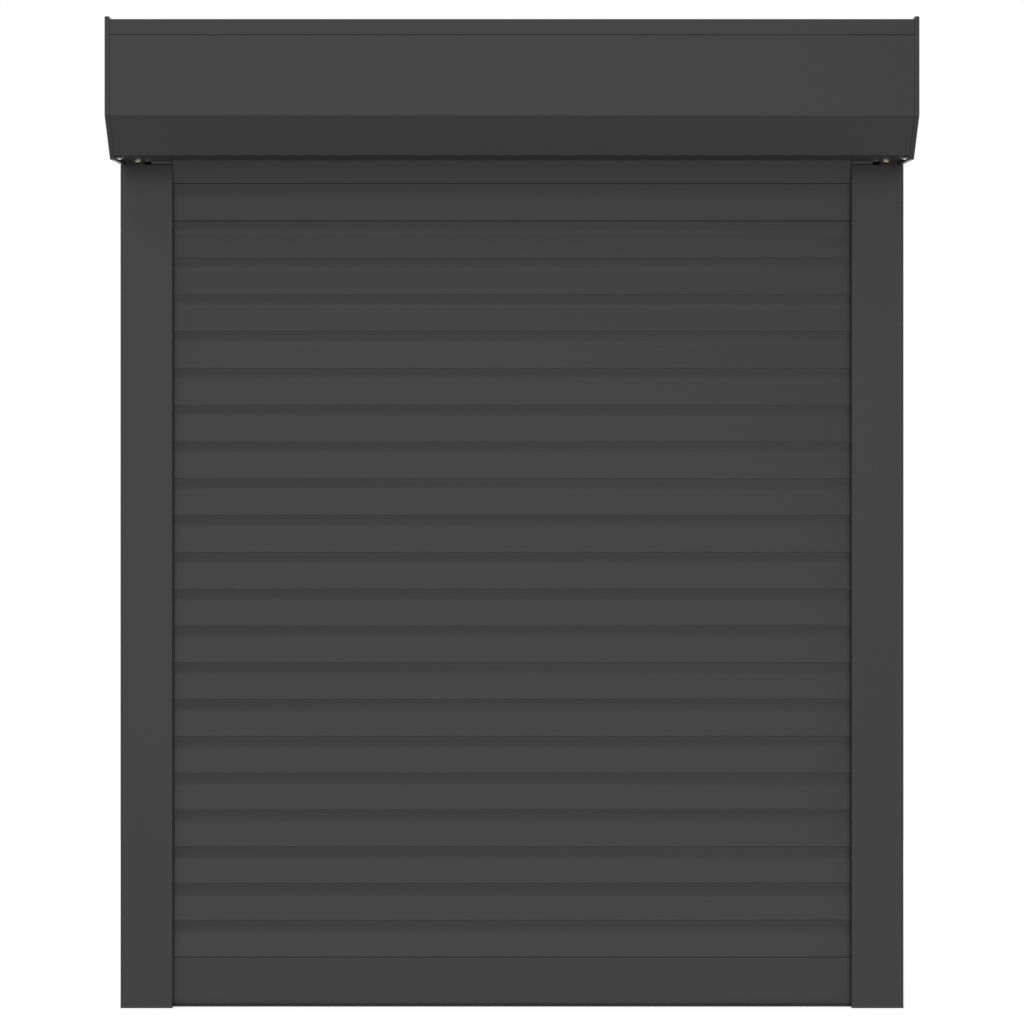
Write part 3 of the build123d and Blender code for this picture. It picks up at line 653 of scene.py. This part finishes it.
def tuft_band(low, high, along, root_side):
    """Band of tufts that fill a block along one axis; they stand along Y from their root."""
    _, fittings, _ = settings()
    size = high - low
    middle = (low + high) / 2
    across = 2 - along
    clear_selection()
    root_y = high.y if root_side > 0 else low.y
    root = fittings.tuft_root
    root_middle = (middle.x, root_y - root_side * root / 2, middle.z)
    bpy.ops.mesh.primitive_cube_add(size=1, location=root_middle)
    band = bpy.context.object
    band.scale = (size.x, root, size.z)
    rows = int(size[along] / fittings.tuft_pitch)
    columns = max(int(size[across] / fittings.tuft_pitch), 1)
    step = Vector((0, 0, 0))
    step[along] = size[along] / rows
    side_step = Vector((0, 0, 0))
    side_step[across] = size[across] / columns
    length = size.y - root
    start = low + (step + side_step) / 2
    start.y = root_y - root_side * (root + length / 2)
    room = min(size[along] / rows, size[across] / columns) / 2
    bpy.ops.mesh.primitive_cone_add(vertices=tuft_sides, radius1=room * 0.7, radius2=room * 0.98,
                                    depth=length, location=start,
                                    rotation=(root_side * math.pi / 2, 0, 0))
    tufts = bpy.context.object
    settle(tufts)
    for count, offset in ((columns, side_step), (rows, step)):
        array = tufts.modifiers.new("tufts", "ARRAY")
        array.count = count
        array.use_relative_offset = False
        array.use_constant_offset = True
        array.constant_offset_displace = offset
        bpy.ops.object.modifier_apply(modifier=array.name)
    return join_pieces([band, tufts], "tuft_band")


class SHUTTER_OT_studio(bpy.types.Operator):
    """Pale floor, soft light and the camera"""
    bl_idname = "shutter.studio"
    bl_label = "Studio"

    def execute(self, context):
        _, _, studio = settings()
        scene = context.scene
        scene.view_settings.view_transform = "Standard"
        # The floor starts just before the rails, so that it hides no light from below, and lies
        # a hair under the feet.
        width, depth, front, drop = 3, 1.5, -24 * mm, 0.2 * mm
        clear_selection()
        bpy.ops.mesh.primitive_plane_add(
            size=1, location=(0, front + depth / 2, frame_bounds[0][2] - drop))
        floor = bpy.context.object
        floor.name = "studio_floor"
        floor.scale = (width, depth, 1)
        floor.data.materials.append(floor_material())
        world = bpy.data.worlds.new("studio_room")
        scene.world = world
        world.use_nodes = True
        tree = world.node_tree
        room = tree.nodes["Background"]
        room.inputs["Color"].default_value = (1, 1, 1, 1)
        strength = add_math(tree, "MAXIMUM", backdrop_rays(tree), studio.room_strength)
        tree.links.new(strength, room.inputs["Strength"])
        soft_light("front_light", studio.front_strength, spread=26, height=6, side=3)
        top = soft_light("top_light", studio.top_strength, spread=40, height=50, side=10)
        low = soft_light("low_light", studio.under_strength, spread=40, height=-25, side=-10)
        top.visible_glossy = low.visible_glossy = False
        camera_data = bpy.data.cameras.new("photo_camera")
        camera_data.lens = studio.lens
        camera_data.sensor_width = 36
        camera = bpy.data.objects.new("photo_camera", camera_data)
        camera.location = (0, -studio.camera_distance, studio.camera_height)
        camera.rotation_euler = (math.radians(90), 0, 0)
        scene.collection.objects.link(camera)
        scene.camera = camera
        return {"FINISHED"}


def soft_light(name, strength, spread, height, side):
    """Far light in front of the shutter; spread, height and turn to the left in degrees."""
    data = bpy.data.lights.new(name, "SUN")
    data.energy = strength
    data.angle = math.radians(spread)
    light = bpy.data.objects.new(name, data)
    light.rotation_euler = (math.radians(90 - height), 0, -math.radians(side))
    bpy.context.scene.collection.objects.link(light)
    return light


def backdrop_rays(tree):
    """One for the rays that show the white backdrop: camera, mirror and glass rays."""
    path = tree.nodes.new("ShaderNodeLightPath")
    seen = add_math(tree, "MAXIMUM", path.outputs["Is Camera Ray"], path.outputs["Is Glossy Ray"])
    return add_math(tree, "MAXIMUM", seen, path.outputs["Is Transmission Ray"])


def floor_material():
    """Pale floor that shows white where no shadow falls."""
    whitening = 0.58
    material = bpy.data.materials.new("pale_floor")
    material.use_nodes = True
    tree = material.node_tree
    shader = tree.nodes["Principled BSDF"]
    shader.inputs["Base Color"].default_value = (0.8, 0.8, 0.8, 1)
    shader.inputs["Roughness"].default_value = 0.9
    shader.inputs["Emission Color"].default_value = (1, 1, 1, 1)
    glow = add_math(tree, "MULTIPLY", backdrop_rays(tree), whitening)
    tree.links.new(glow, shader.inputs["Emission Strength"])
    return material


class SHUTTER_PT_panel(bpy.types.Panel):
    """Panel in the 3D view's sidebar"""
    bl_idname = "SHUTTER_PT_panel"
    bl_label = "Roller Shutter"
    bl_space_type = "VIEW_3D"
    bl_region_type = "UI"
    bl_category = "Shutter"

    def draw(self, context):
        for group in settings():
            for name in group.__annotations__:
                self.layout.prop(group, name)
        for operator in OPERATORS:
            self.layout.operator(operator.bl_idname)


GROUPS = (ShutterFinishes, ShutterFittings, StudioSettings)
OPERATORS = (SHUTTER_OT_coat, SHUTTER_OT_plastics, SHUTTER_OT_metals, SHUTTER_OT_rivets,
             SHUTTER_OT_plate_screws, SHUTTER_OT_bearings, SHUTTER_OT_buttons, SHUTTER_OT_piles,
             SHUTTER_OT_studio)


def register():
    for item in (*GROUPS, *OPERATORS, SHUTTER_PT_panel):
        bpy.utils.register_class(item)
    bpy.types.Scene.shutter_finishes = bpy.props.PointerProperty(type=ShutterFinishes)
    bpy.types.Scene.shutter_fittings = bpy.props.PointerProperty(type=ShutterFittings)
    bpy.types.Scene.shutter_studio = bpy.props.PointerProperty(type=StudioSettings)


def unregister():
    del bpy.types.Scene.shutter_studio
    del bpy.types.Scene.shutter_fittings
    del bpy.types.Scene.shutter_finishes
    for item in reversed((*GROUPS, *OPERATORS, SHUTTER_PT_panel)):
        bpy.utils.unregister_class(item)


def main():
    register()
    bpy.ops.shutter.coat()
    bpy.ops.shutter.plastics()
    bpy.ops.shutter.metals()
    bpy.ops.shutter.rivets()
    bpy.ops.shutter.plate_screws()
    bpy.ops.shutter.bearings()
    bpy.ops.shutter.buttons()
    bpy.ops.shutter.piles()
    bpy.ops.shutter.studio()


if __name__ == "__main__":
    main()
